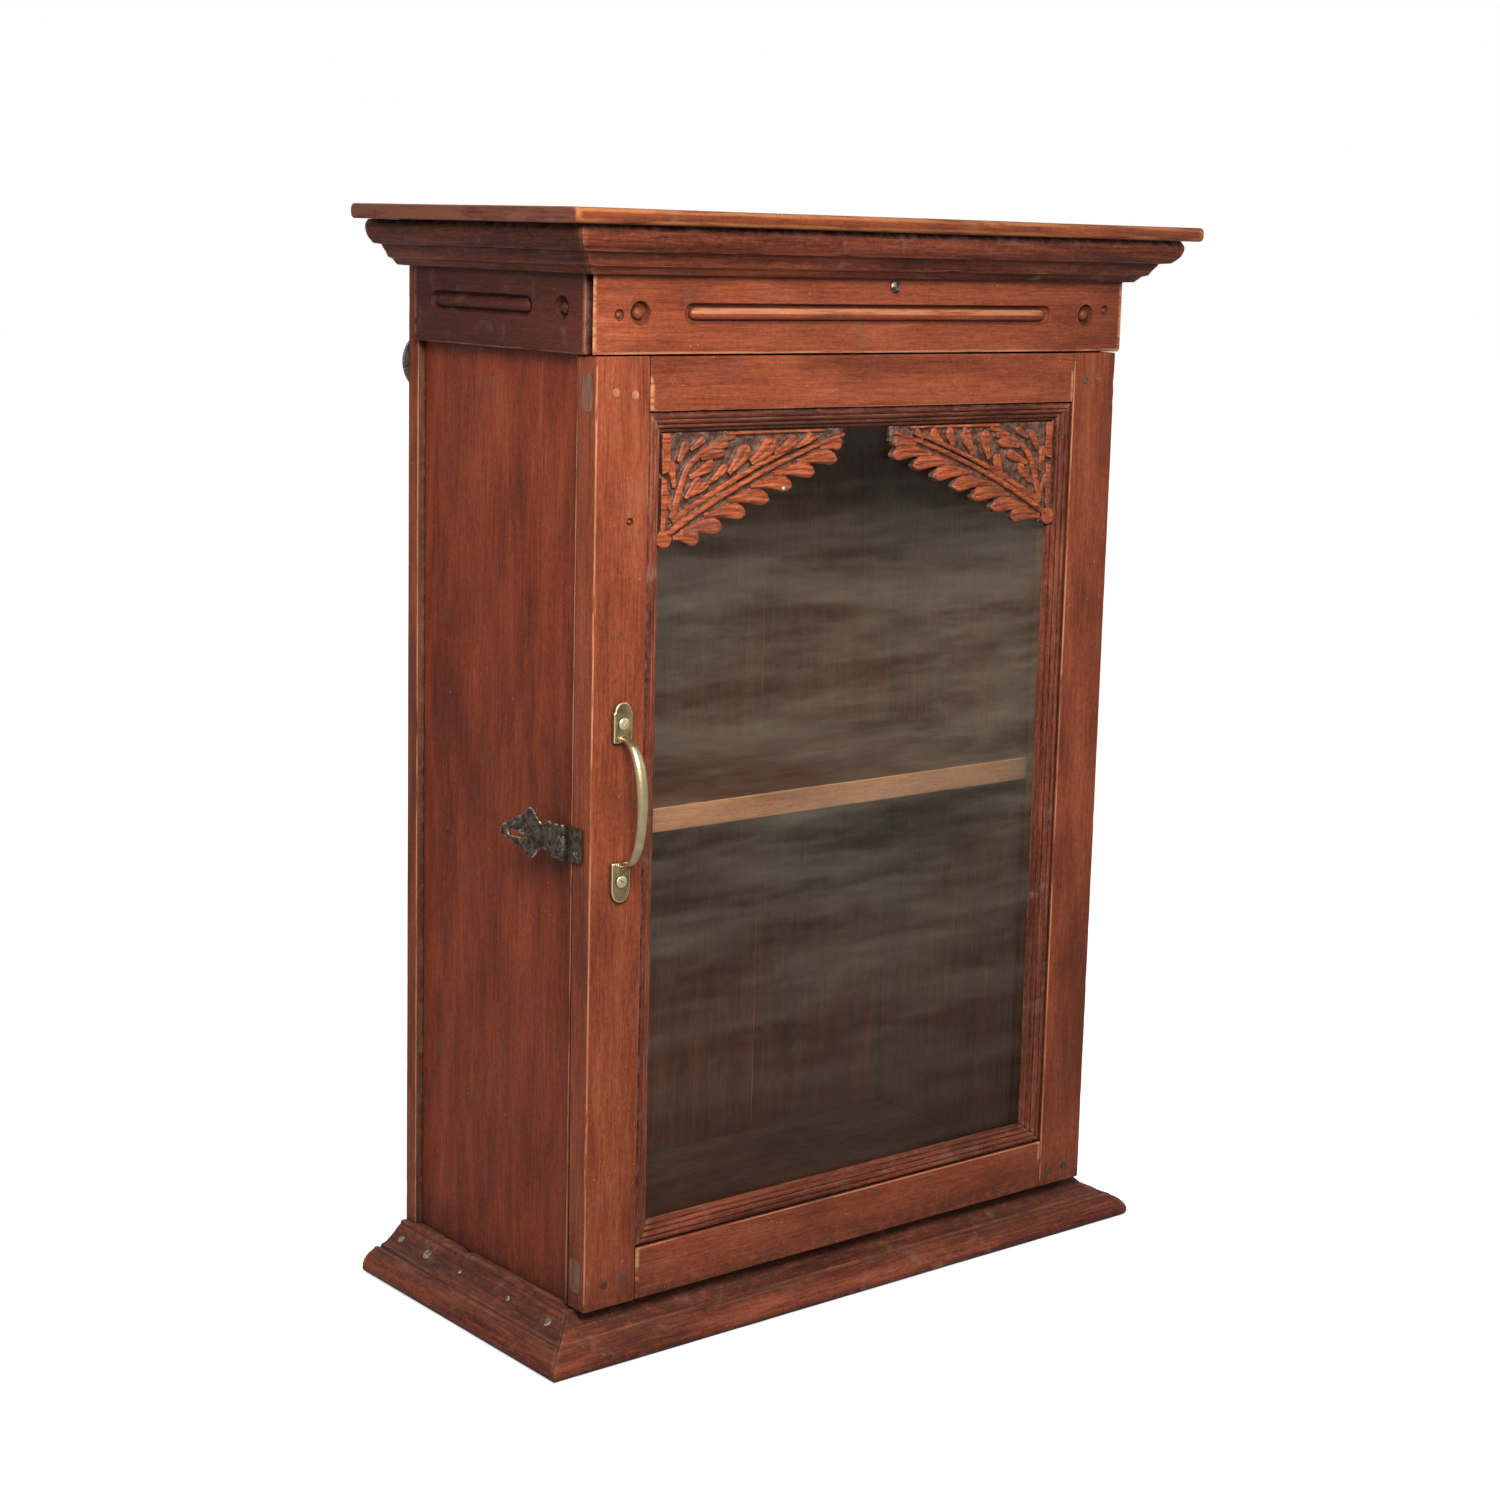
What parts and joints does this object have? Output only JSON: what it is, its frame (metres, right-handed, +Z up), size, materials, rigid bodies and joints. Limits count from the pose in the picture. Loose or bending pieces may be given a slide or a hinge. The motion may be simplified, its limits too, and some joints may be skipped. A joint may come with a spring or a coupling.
{
  "type": "hanging key cabinet",
  "caption": "Wall-hung wooden cabinet with a glazed, carved-corner door, bow handle, side hasp, moulded cornice and base, and one inner shelf.",
  "frame": {"origin": "centre of the bounding box's bottom face, on the floor plane", "axes": "+X is the cabinet's width, towards the hinged side of the door; +Y points to the wall; +Z is up; the door faces -Y"},
  "size_m": [0.5508, 0.2628, 0.75],
  "materials": {
    "teak_front": "worn oiled teak, lit grain of the door frame, front frieze and top board",
    "teak_side": "darker stained teak of the sides",
    "teak_moulding": "dark stained teak mouldings with dust in the recesses",
    "teak_inside": "dull unpolished wood inside and at the back",
    "teak_carved": "rubbed carved teak with dusty hollows",
    "peg_wood": "pale end grain of the pegs",
    "glass": "clear old sheet glass",
    "brass": "aged brass, bright where it is rubbed",
    "iron": "blackened wrought iron"
  },
  "bodies": {
    "cabinet": {"left_side_board": "teak_side", "right_side_board": "teak_side", "bottom_board": "teak_inside", "ceiling_board": "teak_inside", "shelf": "teak_inside", "shelf_cleat_left": "teak_inside", "shelf_cleat_right": "teak_inside", "back_plank_left": "teak_inside", "back_plank_centre": "teak_inside", "back_plank_right": "teak_inside", "top_board": "teak_front", "frieze_front": "teak_front", "frieze_left": "teak_side", "frieze_right": "teak_side", "cornice_front_moulding": "teak_moulding", "cornice_left_moulding": "teak_moulding", "cornice_right_moulding": "teak_moulding", "base_front_moulding": "teak_moulding", "base_left_moulding": "teak_moulding", "base_right_moulding": "teak_moulding", "frieze_nail": "iron", "wall_hanger_left": "iron", "wall_hanger_right": "iron", "lower_hinge_cabinet_leaf": "iron", "upper_hinge_cabinet_leaf": "iron", "lower_hinge_pin": "iron", "upper_hinge_pin": "iron", "hasp_staple": "iron"},
    "door": {"door_left_stile": "teak_front", "door_right_stile": "teak_front", "door_top_rail": "teak_front", "door_bottom_rail": "teak_front", "peg_top_left_outer": "peg_wood", "peg_top_left_inner": "peg_wood", "peg_top_right_outer": "peg_wood", "peg_top_right_inner": "peg_wood", "peg_bottom_left_outer": "peg_wood", "peg_bottom_left_inner": "peg_wood", "peg_bottom_right_outer": "peg_wood", "peg_bottom_right_inner": "peg_wood", "glass_moulding_left": "teak_moulding", "glass_moulding_right": "teak_moulding", "glass_moulding_top": "teak_moulding", "glass_moulding_bottom": "teak_moulding", "glass_pane": "glass", "glazing_bead_left": "teak_inside", "glazing_bead_right": "teak_inside", "glazing_bead_top": "teak_inside", "glazing_bead_bottom": "teak_inside", "spandrel_left": "teak_carved", "spandrel_right": "teak_carved", "pull_handle": "brass", "handle_screw_lower": "brass", "handle_screw_upper": "brass", "lower_hinge_door_leaf": "iron", "upper_hinge_door_leaf": "iron", "hasp_door_leaf": "iron", "hasp_pin": "iron"},
    "hasp": {"hasp_strap": "iron"}
  },
  "joints": [
    {"name": "door_hinge", "type": "hinge", "parent": "cabinet", "child": "door", "pos_m": [0.234, -0.0696, 0.3465], "axis": [0, 0, 1], "range_deg": [0, 180]},
    {"name": "hasp_hinge", "type": "hinge", "parent": "door", "child": "hasp", "pos_m": [-0.234, -0.06625, 0.347], "axis": [0, 0, 1], "range_deg": [-14, 150]}
  ]
}
